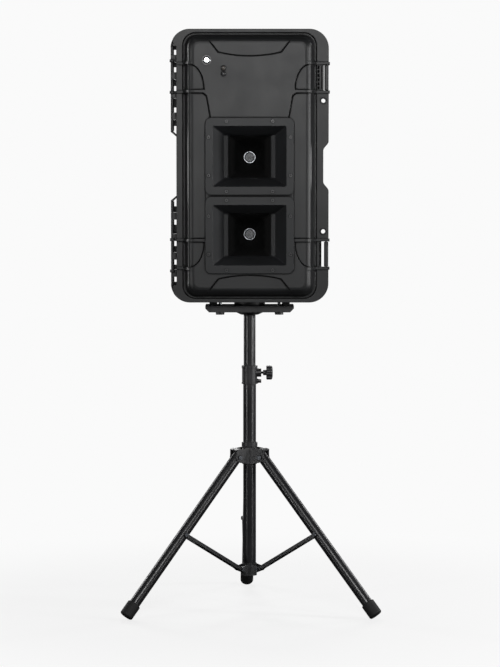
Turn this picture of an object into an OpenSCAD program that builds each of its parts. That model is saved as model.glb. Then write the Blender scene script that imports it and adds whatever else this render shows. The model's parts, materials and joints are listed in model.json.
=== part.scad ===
// Portable PA speaker: two square-mouth horns on the lid of a hard equipment case,
// carried by a plate and socket on the sliding pole of a folding tripod stand.
// Millimetres, +Z up, the viewer looks along +Y. The case and the stand each have a frame of
// their own, case_frame() and stand_frame(), and every piece is drawn in one of the two.

/* [Case] */
// Width of the case over its flanges
case_w = 458; // [440:2:500]
// Height of the case as it stands on end
case_h = 791; // [770:2:860]
// Depth of the case from the lid face to the back
case_d = 350; // [340:2:420]
// Depth of the lid
lid_d = 62; // [58:1:72]
// Plan radius of the flange corners
case_corner_r = 56; // [48:1:64]
// Wall of the mouldings
case_wall = 4; // [3:0.5:5]
// Thickness of each half of the seam flange
flange_t = 10; // [8:0.5:12]
// Width of the flange that is left beside the lid walls
flange_side = 40; // [38:1:44]
// Width of the flange that is left above and below the lid walls
flange_end = 15.5; // [12:0.5:20]
// Gap between the two halves at the seam
seam_gap = 0.4; // [0.3:0.1:0.8]
// Depth of the sunk panels in the lid face
panel_sink = 7; // [5:0.5:9]
// Radius that rolls the lid walls into the face
lid_edge_r = 20; // [16:1:22]
// Radius that rolls the base walls into the back
base_edge_r = 24; // [18:1:28]
// Thickness of a stiffening rib
rib_t = 8; // [6:0.5:9]
// Height that a rib stands proud of the wall
rib_proud = 3; // [2:0.5:4]
// Height of the inner pair of ribs above and below the middle of the case
rib_inner = 214; // [208:1:218]
// Height of the outer pair of ribs above and below the middle of the case
rib_outer = 296; // [292:1:300]

/* [Hinge] */
// Diameter of the hinge pin
hinge_pin_d = 5; // [4:0.5:6]
// Radius of the hinge barrel
barrel_r = 5; // [4.5:0.1:5.5]
// Distance from the flange edge to the hinge pin
hinge_out = 11.5; // [10.5:0.5:13]
// Where each knuckle of the lid starts above the middle of the case
lid_knuckle_z = [134, 196, 250, 300];
// Length of a knuckle of the lid
lid_knuckle_l = 21; // [16:1:22]
// Open window beside each knuckle of the base
knuckle_window = 14; // [10:1:16]
// Height at which a group of knuckles ends
hinge_end_z = 345; // [342:1:347]
// Height at which a group of knuckles starts
hinge_start_z = 102; // [100:1:106]
// Play between knuckles
knuckle_gap = 0.4; // [0.3:0.1:0.8]

/* [Latches and handle] */
// Distance from the seam to the pin of each latch, which the lid holds
latch_pin_y = 8; // [7:0.5:9]
// Distance from the seam to the keeper pin, which the base holds
keeper_pin_y = 15; // [14:0.5:17]
// Diameter of the latch and keeper pins
latch_pin_d = 5; // [4:0.5:6]
// Distance from the flange notch to the latch
latch_off = 8; // [6:0.5:9]
// Thickness of a latch
latch_t = 12; // [11:0.5:14]
// Depth of the flange notches behind the latches
latch_notch = 20.5; // [19:0.5:24]
// Length of the finger flap of a latch
trigger_l = 22; // [18:1:26]
// Width of the carrying handle
handle_w = 124; // [110:2:130]
// Reach of the carrying handle from its pivots to the outside of the grip
handle_l = 58; // [52:1:64]
// Thickness of the handle grip
handle_t = 12; // [10:0.5:12]
// Diameter of the padlock holes
padlock_d = 12.5; // [10:0.5:14]
// Height of the padlock holes above and below the middle of the case
padlock_z = 189; // [184:1:194]
// Distance of the padlock holes from the side of the flange
padlock_in = 15.5; // [14:0.5:18]

/* [Horns] */
// Width of the horn flange
horn_w = 254; // [250:1:256]
// Height of the horn flange
horn_h = 220; // [214:1:222]
// Thickness of the horn flange
horn_flange_t = 7; // [5:0.5:9]
// Distance between the centres of the horns
horn_pitch = 226.5; // [224:0.5:232]
// Height of the middle of the pair of horns, from the middle of the case
horn_pair_z = -86; // [-90:1:-80]
// Width of the mouth
mouth_w = 211; // [204:1:214]
// Height of the mouth
mouth_h = 173; // [168:1:178]
// Depth of the outer flare
flare_d = 45; // [38:1:52]
// Width of the mouth where the outer flare starts
knee_w = 149; // [142:1:154]
// Height of the mouth where the outer flare starts
knee_h = 127; // [120:1:132]
// Width of the deep part of the horn where it starts
deep_w = 125; // [116:1:130]
// Length of the horn from its face to the throat
horn_l = 188; // [178:1:200]
// Diameter of the throat
throat_d = 36; // [34:0.5:38]
// Wall of the horn
horn_wall = 4; // [3:0.5:4]
// Diameter of the compression driver
driver_d = 118; // [108:1:124]
// Length of the compression driver
driver_l = 72; // [60:1:80]

/* [Electronics] */
// Diameter of the power button
button_d = 22; // [19:0.5:24]
// Travel of the power button
button_travel = 2; // [1:0.5:3]
// Across position of the power button
button_x = -123.5; // [-126:0.5:-118]
// Height of the power button above the middle of the case
button_z = 303; // [298:1:306]
// Across position of the two status lights
light_x = -75; // [-80:1:-70]
// Height of the upper status light above the middle of the case
light_z = 280; // [276:1:284]
// Distance between the status lights
light_pitch = 16.5; // [15:0.5:18]
// Gap between the amplifier and the battery pack
gear_gap = 24; // [16:1:30]
// Room between the electronics and the side walls of the lid
gear_side = 23; // [21:1:30]
// Height of the amplifier
amp_h = 92; // [86:2:96]
// Depth of the amplifier
amp_d = 40; // [36:1:46]
// Depth of the battery pack
battery_d = 60; // [50:1:64]

/* [Platform] */
// Width of the platform pan
pan_w = 260; // [250:2:280]
// Depth of the platform pan from front to back
pan_d = 120; // [110:2:140]
// Height of the platform pan
pan_h = 19.5; // [16:0.5:24]
// Sheet of the platform pan
pan_t = 3; // [2:0.5:4]
// Gap between the platform pan and the case
pan_gap = 20; // [16:1:24]
// Diameter of the socket flange
socket_flange_d = 91; // [80:1:94]
// Length of the pole inside the case
socket_in = 76; // [64:2:80]
// Wall of the pole socket
socket_wall = 4; // [3:0.5:5]
// Distance between the platform bolts across
bolt_pitch_x = 174; // [168:2:180]
// Distance between the platform bolts from front to back
bolt_pitch_y = 70; // [60:2:80]

/* [Pole and tube] */
// Diameter of the sliding pole
pole_d = 35; // [34:0.5:36]
// Length of the sliding pole
pole_l = 735; // [720:5:760]
// Length of the pole that shows above the tube
pole_out = 276; // [266:2:290]
// Wall of the sliding pole
pole_wall = 1.75; // [1.5:0.25:2.5]
// Wall of the lower tube
tube_wall = 1.2; // [1:0.1:1.5]
// Length of the lower tube
tube_l = 616; // [610:2:640]
// Radial play of the pole in the tube
pole_play = 0.3; // [0.3:0.1:0.5]

/* [Tripod] */
// Length of a leg from its pivot to the end of its foot
leg_l = 578.5; // [560:0.5:600]
// Diameter of a leg
leg_d = 32; // [30:0.5:33]
// Wall of a leg
leg_wall = 1.5; // [1.2:0.1:2]
// Angle of a spread leg from the pole
leg_angle = 40.35; // [38:0.05:42]
// Angle of a folded leg from the pole
leg_folded = 4.5; // [4:0.1:6]
// Turn of the tripod about the pole
tripod_turn = 1.2; // [0:0.1:3]
// Distance of the leg pivots from the pole axis
hub_r = 44; // [44:0.5:46]
// Distance of the lower brace pivots from the pole axis
brace_r = 35; // [34:0.5:37]
// Distance from a leg's pivot to its brace
brace_at = 283; // [278:1:288]
// Length of a brace between its pivots
brace_l = 225.7; // [222:0.1:230]
// Height of a brace channel
brace_h = 10; // [8:0.5:12]
// Wall of a brace channel
brace_wall = 2; // [1.5:0.25:2.5]
// Diameter of a rubber foot
foot_d = 40; // [38:1:44]
// Length of a rubber foot
foot_l = 44; // [38:1:50]
// Radius at the end of a rubber foot
foot_edge_r = 5; // [3:0.5:7]
// Diameter of the leg bolts
leg_bolt_d = 8; // [6:0.5:8]
// Diameter of the brace bolts
brace_bolt_d = 6; // [5:0.5:6]

/* [Height collar] */
// Diameter of the height collar
collar_d = 47; // [45:1:50]
// Length of the height collar
collar_l = 54; // [50:1:60]
// Diameter of the locking knob
knob_d = 42; // [38:1:48]
// Length of the knob head
knob_l = 19; // [16:1:22]
// Number of flutes around the knob
knob_flutes = 12; // [8:1:16]

/* [Hidden] */

// Facets of hulls and of circles that carry over as true curves
$fn = 32;
// A cut runs this far past the solid that it cuts
over = 1;
// A sheet of this thickness stands for an outline inside a hull
skin = 0.01;
// Radial play of a pin that turns in its hole
pin_play = 0.08;
// Play between two pieces that lie on each other
seat = 0.3;
// Radial play of a pressed or glued piece
fit_play = 0.05;

black_plastic = "#1d1e20";
black_steel = "#18191b";
rubber_black = "#111213";
bright_steel = "#c3c6ca";
screen_grey = "#8d9094";

// Tripod heights follow from the leg, because the feet stand on the floor
foot_r = foot_d / 2;
hub_z = (leg_l - foot_edge_r) * cos(leg_angle) + (foot_r - foot_edge_r) * sin(leg_angle)
    + foot_edge_r;
joint_r = hub_r + brace_at * sin(leg_angle);
joint_z = hub_z - brace_at * cos(leg_angle);
brace_z = joint_z - sqrt(pow(brace_l, 2) - pow(joint_r - brace_r, 2));
brace_angle = atan2(joint_z - brace_z, joint_r - brace_r);
leg_azimuth = [210 + tripod_turn, 330 + tripod_turn, 90 + tripod_turn];

// Reach of a foot from the pole axis along the direction at an angle
function foot_reach(azimuth, toward) =
    let (lean = cos(azimuth - toward) * sin(leg_angle))
    (hub_r + (leg_l - foot_edge_r) * sin(leg_angle)) * cos(azimuth - toward)
    + (foot_r - foot_edge_r) * sqrt(1 - pow(lean, 2)) + foot_edge_r;

// The origin is on the floor, in the middle of the feet
stand_x = (foot_reach(leg_azimuth[0], 180) - foot_reach(leg_azimuth[1], 0)) / 2;
stand_y = (foot_reach(leg_azimuth[0], 270) - foot_reach(leg_azimuth[2], 90)) / 2;

// Tube and collars
pole_r = pole_d / 2;
tube_in_r = pole_r + pole_play;
tube_r = tube_in_r + tube_wall;
bottom_collar_h = 36;
bottom_collar_drop = 21;
bottom_collar_r = tube_r + 2.6;
tube_z = brace_z - bottom_collar_drop + 3;
tube_top = tube_z + tube_l;
collar_lip = 6;
collar_top = tube_top + collar_lip;
collar_r = collar_d / 2;
collar_z = collar_top - collar_l;
knob_z = collar_top - 21;
boss_r = 12.5;
boss_x = collar_r + 11;
stud_r = 3.5;
knob_x = boss_x + 15;
knob_hub_r = 8;
collar_screw_z = collar_z + 8;
collar_screw_r = 5.5;

// Pole and socket
pole_top = collar_top + pole_out;
socket_play = 0.2;
case_under = pole_top - socket_in;
pan_top = case_under - pan_gap;
socket_flange_t = 6;
socket_r = pole_r + socket_play + socket_wall;
pan_boss_r = 26;
pad_t = 9;
pan_boss_h = 9;

// Case frame: x and z from the middle of the case, y from the pole axis
body_end = 7.5;
body_side = 31;
body_w = case_w - 2 * body_side;
body_h = case_h - 2 * body_end;
body_corner_r = 36;
body_draft = 6;
case_z = case_under + body_h / 2;
front_y = -case_d / 2;
back_y = case_d / 2;
seam_y = front_y + lid_d;
half_gap = seam_gap / 2;
lid_w = case_w - 2 * flange_side;
lid_h = case_h - 2 * flange_end;
lid_corner_r = 33;
lid_draft = 10;
lid_floor_y = front_y + panel_sink + case_wall;
sunk_edge_r = lid_edge_r - 3;
edge_steps = 5;

// Outline of the seam flange
hinge_notch = 17;
flange_l = -case_w / 2 + hinge_notch;
flange_r = case_w / 2;
hinge_x = flange_l - hinge_out;
grip_notch = 15.5;
grip_notch_h = 45;
grip_notch_run = 27;
rib_z = [rib_inner, rib_outer];
rib_side_x = case_w / 2 + rib_proud;
latch_z0 = rib_inner + rib_t / 2;
latch_z1 = rib_outer - rib_t / 2;
latch_end_gap = 1.5;

// Latch, in plan
notch_x = flange_r - latch_notch;
latch_x = notch_x + latch_off;
latch_pin_x = latch_x + latch_t / 2;
pivot_y = seam_y - latch_pin_y;
keeper_y = seam_y + keeper_pin_y;
latch_pin_r = latch_pin_d / 2;
hook_r0 = latch_pin_y + keeper_pin_y - latch_pin_r - seat;
hook_r1 = latch_pin_y + keeper_pin_y + latch_pin_r + seat;
hook_lip = 5;
shield_play = 2;
bay_groove_w = 3.4;
bay_groove_d = 2;
foot_groove_w = 3;
foot_groove_d = 3;
hook_y = pivot_y + hook_r1 + hook_lip;
arm_t = 6;
trigger_x = latch_x + latch_t - arm_t / 2;
trigger_y = hook_y + 6;
trigger_pin_r = 1.6;
trigger_eye_r = 2.9;
trigger_h = 40;

// Handle, in plan
handle_x = body_w / 2 + 3 + handle_t / 2;
handle_y = seam_y + 25;
handle_pin_r = 3;
handle_arm = 13;
lug_t = 11;
lug_r = 7;

// Horns
horn_seat_y = front_y - fit_play;
horn_face_y = horn_seat_y - horn_flange_t;
knee_y = horn_face_y + flare_d;
deep_y = knee_y + 8;
throat_y = horn_face_y + horn_l;
throat_r = throat_d / 2;
throat_flange_r = 52;
throat_flange_t = 9;
driver_y = throat_y + throat_flange_t + fit_play;
driver_r = driver_d / 2;
horn_corner_r = 16;
horn_z = [horn_pair_z + horn_pitch / 2, horn_pair_z - horn_pitch / 2];
horn_screw_x = 66.5;
horn_screw_z = 55;
horn_screw_in = 9.5;
horn_screw_r = 5;
horn_shank_r = 2.2;
screen_r = 13.5;

// Electronics behind the blank upper part of the lid
amp_w = lid_w / 2 - case_wall - gear_side - gear_gap / 2;
amp_x = -(amp_w + gear_gap) / 2;
gear_z = 212;
amp_y = lid_floor_y + 12;
post_r = 6;
post_in = 10;
bracket_t = 3;
battery_w = amp_w - bracket_t;
battery_x = (battery_w + gear_gap) / 2;
panel_t = 2;
panel_h = 44;
button_r = button_d / 2;
bezel_r = button_r + 3;
bezel_t = 1.4;
button_stem_r = 6.5;
button_play = 0.3;
light_r = 4;
light_bezel_r = 6.5;
knob_pos_x = amp_x + 34;

// ---------------------------------------------------------------- frames and helpers

module stand_frame() {
    translate([stand_x, stand_y, 0]) children();
}

module case_frame() {
    stand_frame() translate([0, 0, case_z]) children();
}

// A flat outline drawn in x and z, pulled from y0 to y1
module slab_y(y0, y1) {
    translate([0, y1, 0]) rotate([90, 0, 0]) linear_extrude(height = y1 - y0) children();
}

// A flat outline drawn in x and y, pulled from z0 to z1
module slab_z(z0, z1) {
    translate([0, 0, z0]) linear_extrude(height = z1 - z0) children();
}

module rounded_rect(w, h, r) {
    square([w - 2 * r, h], center = true);
    square([w, h - 2 * r], center = true);
    for (x = [-1, 1], z = [-1, 1]) translate([x * (w / 2 - r), z * (h / 2 - r)]) circle(r);
}

// A block whose walls lean in by a draft and roll into its face at y_face
module rolled_block(w, h, r, y_open, y_face, draft, edge_r) {
    out = sign(y_face - y_open);
    hull() {
        face_sheet(y_open, -out) rounded_rect(w, h, r);
        for (k = [0:edge_steps]) {
            inset = draft + edge_r * (1 - cos(90 * k / edge_steps));
            y = y_face - out * edge_r * (1 - sin(90 * k / edge_steps));
            face_sheet(y, out)
                rounded_rect(w - 2 * inset, h - 2 * inset, max(r - inset * 0.55, 4));
        }
    }
}

// A thin sheet with its outer face at y
module face_sheet(y, out) {
    slab_y(out > 0 ? y - skin : y, out > 0 ? y : y + skin) children();
}

// A round bar along z
module bar_z(x, y, z0, z1, r) {
    translate([x, y, z0]) cylinder(h = z1 - z0, r = r);
}

// A round bar along y
module bar_y(x, z, y0, y1, r) {
    translate([x, y0, z]) rotate([-90, 0, 0]) cylinder(h = y1 - y0, r = r);
}

// A round bar along x
module bar_x(y, z, x0, x1, r) {
    translate([x0, y, z]) rotate([0, 90, 0]) cylinder(h = x1 - x0, r = r);
}

module both_ends() {
    children();
    mirror([0, 0, 1]) children();
}

// ---------------------------------------------------------------- stand: tube and collars

module lower_tube() {
    color(black_steel) stand_frame() difference() {
        bar_z(0, 0, tube_z, tube_top, tube_r);
        bar_z(0, 0, tube_z - over, tube_top + over, tube_in_r);
        bar_x(0, knob_z, 0, tube_r + over, stud_r + 0.5);
    }
}

module tube_plug() {
    plug_lip = 2.5;
    plug_in = 16;
    color(black_plastic) stand_frame() {
        bar_z(0, 0, tube_z - plug_lip, tube_z, tube_r);
        bar_z(0, 0, tube_z - over, tube_z + plug_in, tube_in_r - fit_play);
    }
}

// Two ears of the lower collar stand inside the cheeks of each brace
module collar_ear_profile() {
    ear_r = 7;
    root_x = 8;
    difference() {
        union() {
            translate([brace_r, brace_z]) circle(ear_r);
            polygon([[root_x, brace_z - 14], [tube_r, brace_z - 14], [brace_r, brace_z - ear_r],
                [brace_r, brace_z + ear_r], [tube_r, brace_z + 12], [root_x, brace_z + 12]]);
        }
        translate([brace_r, brace_z]) circle(brace_bolt_d / 2);
    }
}

cheek_in = leg_d / 2 + 0.5;
ear_out = cheek_in - seat;
ear_t = 3.4;

module bottom_collar() {
    z0 = brace_z - bottom_collar_drop;
    color(black_plastic) stand_frame() difference() {
        union() {
            bar_z(0, 0, z0, z0 + bottom_collar_h, bottom_collar_r);
            for (azimuth = leg_azimuth, side = [0, 1]) rotate([0, 0, azimuth])
                mirror([0, side, 0]) slab_y(ear_out - ear_t, ear_out) collar_ear_profile();
        }
        bar_z(0, 0, z0 - over, z0 + bottom_collar_h + over, tube_r + fit_play);
    }
}

// A bolt along y with a round head and a nut
module cross_bolt(r, head_r, head_t, half) {
    bar_y(0, 0, -half, half, r);
    bar_y(0, 0, -half - head_t, -half, head_r);
    translate([0, half, 0]) rotate([-90, 30, 0]) cylinder(h = head_t, r = head_r, $fn = 6);
}

module collar_bolts() {
    color(bright_steel) stand_frame() for (azimuth = leg_azimuth) rotate([0, 0, azimuth])
        translate([brace_r, 0, brace_z])
            cross_bolt(brace_bolt_d / 2 - fit_play, 5.6, 3.4, cheek_in + brace_wall + seat);
}

module height_collar() {
    ring_h = 8;
    ring_proud = 1.2;
    color(black_plastic) stand_frame() difference() {
        union() {
            bar_z(0, 0, collar_z, collar_top, collar_r - ring_proud);
            bar_z(0, 0, collar_top - ring_h, collar_top, collar_r);
            bar_z(0, 0, collar_z, collar_z + ring_h / 2, collar_r);
            bar_x(0, knob_z, 0, boss_x, boss_r);
            bar_x(0, collar_screw_z, 0, collar_r + 2, collar_screw_r + 1.5);
        }
        bar_z(0, 0, collar_z - over, tube_top, tube_r + fit_play);
        bar_z(0, 0, tube_top - over, collar_top + over, pole_r + socket_play);
        bar_x(0, knob_z, 0, boss_x + over, stud_r + pin_play);
        bar_x(0, collar_screw_z, 0, collar_r + 2 + over, 3 + fit_play);
    }
}

module collar_screw() {
    color(black_steel) stand_frame() difference() {
        union() {
            bar_x(0, collar_screw_z, tube_r + fit_play, collar_r + 2, 3);
            bar_x(0, collar_screw_z, collar_r + 2, boss_x, collar_screw_r);
        }
        translate([boss_x - 5, 0, collar_screw_z]) rotate([0, 90, 0])
            cylinder(h = 5 + over, r = 3, $fn = 6);
    }
}

module height_knob() {
    head_x = knob_x;
    flute_r = 4.5;
    dome = 4;
    color(black_plastic) stand_frame() translate([0, 0, knob_z]) rotate([0, 90, 0]) {
        difference() {
            rotate_extrude() polygon([[0, head_x - 9.5], [knob_hub_r, head_x - 9.5],
                [knob_hub_r, head_x], [knob_d / 2 - 2, head_x], [knob_d / 2, head_x + 2],
                [knob_d / 2, head_x + knob_l - dome], [knob_d / 2 - dome, head_x + knob_l - 1],
                [knob_d / 4, head_x + knob_l], [0, head_x + knob_l]]);
            for (k = [0:knob_flutes - 1]) rotate([0, 0, 360 * k / knob_flutes])
                translate([knob_d / 2 + flute_r * 0.45, 0, head_x - over])
                    cylinder(h = knob_l + 2 * over, r = flute_r);
        }
        translate([0, 0, pole_r + seat]) cylinder(h = head_x - pole_r - seat, r = stud_r);
    }
}

module upper_pole() {
    color(black_steel) stand_frame() difference() {
        bar_z(0, 0, pole_top - pole_l, pole_top, pole_r);
        bar_z(0, 0, pole_top - pole_l - over, pole_top + over, pole_r - pole_wall);
    }
}

module pole_plugs() {
    plug_l = 14;
    plug_r = pole_r - pole_wall - fit_play;
    color(black_plastic) stand_frame() {
        bar_z(0, 0, pole_top - plug_l, pole_top, plug_r);
        bar_z(0, 0, pole_top - pole_l, pole_top - pole_l + plug_l, plug_r);
    }
}

// ---------------------------------------------------------------- stand: hub and legs

hub_sleeve_r = hub_r - sqrt(pow(leg_d / 2, 2) + pow(14, 2)) - 0.7;
hub_drop = 22;
hub_rise = 42;
hub_cheek_t = 2.5;
leg_top = 14;
roof_r = 22.5;
roof_t = 3;
roof_reach = 12;

// A cheek of the hub beside the top of a leg, drawn in radius and height
module hub_cheek_profile() {
    root_x = 6;
    difference() {
        union() {
            translate([hub_r, 0]) circle(13);
            polygon([[root_x, -hub_drop + 1], [tube_r + 1, -hub_drop + 1], [hub_r, -12.5],
                [hub_r + roof_reach, 4], [hub_r + roof_reach, roof_r - 4],
                [hub_r + 4, roof_r + 1], [tube_r + 1, roof_r + 5],
                [root_x, roof_r + 5]]);
        }
        translate([hub_r, 0]) circle(leg_bolt_d / 2);
    }
}

// The ribbed roof that arches over the top of a leg
module hub_roof_profile() {
    intersection() {
        difference() {
            translate([hub_r, 0]) circle(roof_r + roof_t, $fn = 48);
            translate([hub_r, 0]) circle(roof_r, $fn = 48);
        }
        polygon([[hub_r, 0], [hub_r + roof_reach, 0], [hub_r + roof_reach, 60], [tube_r, 60],
            [tube_r, 24]]);
    }
}

module leg_hub() {
    ring_h = 12;
    ring_proud = 1.4;
    half = cheek_in + hub_cheek_t;
    color(black_plastic) stand_frame() translate([0, 0, hub_z]) difference() {
        union() {
            bar_z(0, 0, -hub_drop, hub_rise, hub_sleeve_r);
            bar_z(0, 0, hub_rise - ring_h, hub_rise, hub_sleeve_r + ring_proud);
            for (azimuth = leg_azimuth) rotate([0, 0, azimuth]) {
                for (side = [0, 1]) mirror([0, side, 0])
                    slab_y(cheek_in, half) hub_cheek_profile();
                slab_y(-half, half) hub_roof_profile();
            }
        }
        bar_z(0, 0, -hub_drop - over, hub_rise + over, tube_r + seat);
    }
}

module hub_bolts() {
    color(bright_steel) stand_frame() for (azimuth = leg_azimuth) rotate([0, 0, azimuth])
        translate([hub_r, 0, hub_z])
            cross_bolt(leg_bolt_d / 2 - fit_play, 6.6, 4, cheek_in + hub_cheek_t);
}

// The frame of a leg: z runs down the leg from its pivot, y along the pivot
module leg_frame(i) {
    stand_frame() rotate([0, 0, leg_azimuth[i]]) translate([hub_r, 0, hub_z])
        rotate([0, 180 - leg_angle, 0]) children();
}

module leg(i) {
    end = leg_l - foot_end_t - fit_play;
    color(black_steel) leg_frame(i) difference() {
        bar_z(0, 0, -leg_top, end, leg_d / 2);
        bar_z(0, 0, 12, end + over, leg_d / 2 - leg_wall);
        bar_y(0, 0, -leg_d, leg_d, leg_bolt_d / 2 + pin_play);
    }
}

foot_end_t = 9;

module foot(i) {
    z0 = leg_l - foot_l;
    lip = 1.5;
    color(rubber_black) leg_frame(i) rotate_extrude() difference() {
        union() {
            translate([0, z0 + lip]) square([foot_r, foot_l - lip - foot_edge_r]);
            translate([0, z0]) square([foot_r - lip, lip + 1]);
            translate([0, leg_l - foot_edge_r - 1])
                square([foot_r - foot_edge_r, foot_edge_r + 1]);
            intersection() {
                translate([foot_r - foot_edge_r, leg_l - foot_edge_r]) circle(foot_edge_r);
                square([foot_r, leg_l]);
            }
        }
        translate([0, z0 - over]) square([leg_d / 2 + fit_play, foot_l - foot_end_t + over]);
    }
}

// The frame of a brace: x runs up the brace from the pivot on the lower collar
module brace_frame(i) {
    stand_frame() rotate([0, 0, leg_azimuth[i]]) translate([brace_r, 0, brace_z])
        rotate([0, -brace_angle, 0]) children();
}

// The web stays clear of the leg when the brace folds beside it
web_cut = 70;
web_start = 17;

module brace(i) {
    eye_r = 6.5;
    cheek_out = cheek_in + brace_wall;
    color(black_steel) brace_frame(i) {
        for (side = [0, 1]) mirror([0, side, 0]) slab_y(cheek_in, cheek_out) difference() {
            union() {
                translate([0, -brace_h / 2]) square([brace_l, brace_h]);
                circle(eye_r);
                translate([brace_l, 0]) circle(eye_r);
            }
            circle(brace_bolt_d / 2 + pin_play);
            translate([brace_l, 0]) circle(brace_bolt_d / 2);
        }
        slab_y(-cheek_in - fit_play, cheek_in + fit_play)
            translate([web_start, brace_h / 2 - brace_wall])
                square([brace_l - web_cut - web_start, brace_wall]);
    }
}

module brace_rivets(i) {
    head_r = 5.6;
    head_t = 3.2;
    outside = cheek_in + brace_wall;
    color(bright_steel) brace_frame(i) for (side = [0, 1]) mirror([0, side, 0]) {
        bar_y(brace_l, 0, cheek_in + fit_play, outside + fit_play,
            brace_bolt_d / 2 - fit_play);
        bar_y(brace_l, 0, outside, outside + head_t, head_r);
    }
}

// ---------------------------------------------------------------- platform and socket

// Front view of the pan: straight sides above, corners cut away below
module pan_profile(w, h, side_h, slope) {
    polygon([[-w / 2, h], [-w / 2, h - side_h], [-w / 2 + slope, 0], [w / 2 - slope, 0],
        [w / 2, h - side_h], [w / 2, h]]);
}

module platform() {
    z0 = pan_top - pan_h - case_z;
    side_h = 8;
    slope = 11;
    color(black_steel) case_frame() difference() {
        union() {
            difference() {
                translate([0, 0, z0]) slab_y(-pan_d / 2, pan_d / 2)
                    pan_profile(pan_w, pan_h, side_h, slope);
                translate([0, 0, z0 - over]) slab_y(-pan_d / 2 + pan_t, pan_d / 2 - pan_t)
                    pan_profile(pan_w - 2 * pan_t, pan_h - pan_t + over, side_h, slope);
            }
            translate([0, 0, z0 - pan_boss_h]) rotate_extrude() polygon([[0, 0],
                [pan_boss_r, 0], [socket_flange_d / 2, pan_boss_h],
                [socket_flange_d / 2, pan_boss_h + pan_h - pan_t / 2],
                [0, pan_boss_h + pan_h - pan_t / 2]]);
        }
        bar_z(0, 0, z0 - pan_boss_h - over, z0 + pan_h + over, pole_r + socket_play);
        for (x = [-1, 1], y = [-1, 1])
            bar_z(x * bolt_pitch_x / 2, y * bolt_pitch_y / 2, z0, z0 + pan_h + over, 4.3);
    }
}

module platform_spacers() {
    spacer_w = 22;
    spacer_x = 107;
    color(rubber_black) case_frame() for (x = [-1, 1])
        translate([x * spacer_x, 0, pan_top - case_z]) slab_z(0, pan_gap)
            rounded_rect(spacer_w, pan_d - 10, 3);
}

module socket_spacer() {
    z0 = pan_top - case_z;
    color(black_plastic) case_frame() difference() {
        bar_z(0, 0, z0, z0 + pan_gap - socket_flange_t, socket_flange_d / 2);
        bar_z(0, 0, z0 - over, z0 + pan_gap, pole_r + socket_play);
    }
}

module pole_socket() {
    z0 = case_under - socket_flange_t - case_z;
    top = pole_top - case_z;
    cap = 4;
    color(black_steel) case_frame() difference() {
        union() {
            bar_z(0, 0, z0, z0 + socket_flange_t, socket_flange_d / 2);
            bar_z(0, 0, z0, top + cap + seat, socket_r);
        }
        bar_z(0, 0, z0 - over, top + seat, pole_r + socket_play);
    }
}

module platform_bolt_places() {
    for (x = [-1, 1], y = [-1, 1])
        translate([x * bolt_pitch_x / 2, y * bolt_pitch_y / 2, 0]) children();
}

bolt_r = 4;
bolt_head_r = 10;
bolt_head_t = 4;
nut_r = 12.5;
nut_drop = 27;

module platform_bolts() {
    floor_z = case_under + pad_t - case_z;
    color(bright_steel) case_frame() platform_bolt_places() {
        bar_z(0, 0, pan_top - nut_drop - case_z, floor_z + 1, bolt_r);
        bar_z(0, 0, floor_z, floor_z + bolt_head_t, bolt_head_r);
    }
}

module platform_nuts() {
    top = pan_top - pan_t - case_z;
    washer_t = 2;
    color(black_steel) case_frame() platform_bolt_places() difference() {
        union() {
            bar_z(0, 0, top - washer_t, top, nut_r);
            bar_z(0, 0, top - nut_drop + pan_t, top - washer_t, nut_r - 3);
            bar_z(0, 0, top - nut_drop + pan_t, top - nut_drop + pan_t + 8, nut_r);
        }
        bar_z(0, 0, top - nut_drop, top + over, bolt_r + fit_play);
    }
}

// ---------------------------------------------------------------- case

// Smooth S-shaped side of the notch in front of the handle
function grip_edge(side) = [for (k = [0:8])
    let (t = k / 8)
    [flange_r - grip_notch * (1 - cos(180 * t)) / 2,
        side * (grip_notch_h + grip_notch_run * (1 - t))]];

module grip_notch_outline() {
    lower = grip_edge(-1);
    upper = grip_edge(1);
    polygon(concat([[flange_r + over, -grip_notch_h - grip_notch_run]], lower,
        [for (k = [8:-1:0]) upper[k]], [[flange_r + over, grip_notch_h + grip_notch_run]]));
}

// The flange at the seam, notched for the hinge, the latches and the handle
module flange_outline(left_x) {
    difference() {
        rounded_rect(case_w, case_h, case_corner_r);
        translate([-case_w, -hinge_end_z]) square([case_w + flange_l, 2 * hinge_end_z]);
        translate([-case_w + left_x, -case_h]) square([case_w, 2 * case_h]);
        for (side = [0, 1]) mirror([0, side])
            translate([notch_x, latch_z0]) square([case_w, latch_z1 - latch_z0]);
        grip_notch_outline();
        for (side = [-1, 1]) translate([flange_r - padlock_in, side * padlock_z])
            circle(padlock_d / 2);
    }
}

// Raised ring around each padlock hole
module padlock_rings(y0, y1) {
    for (side = [-1, 1]) difference() {
        bar_y(flange_r - padlock_in, side * padlock_z, y0, y1, padlock_d / 2 + 3);
        bar_y(flange_r - padlock_in, side * padlock_z, y0 - over, y1 + over, padlock_d / 2);
    }
}

// A knuckle: barrel over its whole length and an arm to the flange over part of it
module knuckle(z0, z1, arm_z0, y0, y1) {
    bar_z(hinge_x, seam_y, z0, z1, barrel_r);
    translate([hinge_x, y0, arm_z0]) cube([hinge_out + 2, y1 - y0, z1 - arm_z0]);
}

module lid_knuckles() {
    for (z = lid_knuckle_z) {
        knuckle(z, z + lid_knuckle_l, z, seam_y - barrel_r, seam_y - half_gap);
        for (rib = rib_z) if (abs(z + lid_knuckle_l / 2 - rib) < lid_knuckle_l) {
            ring_z = min(max(rib - rib_t / 2, z), z + lid_knuckle_l - rib_t);
            bar_z(hinge_x, seam_y, ring_z, ring_z + rib_t, barrel_r + rib_proud);
        }
    }
}

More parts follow.
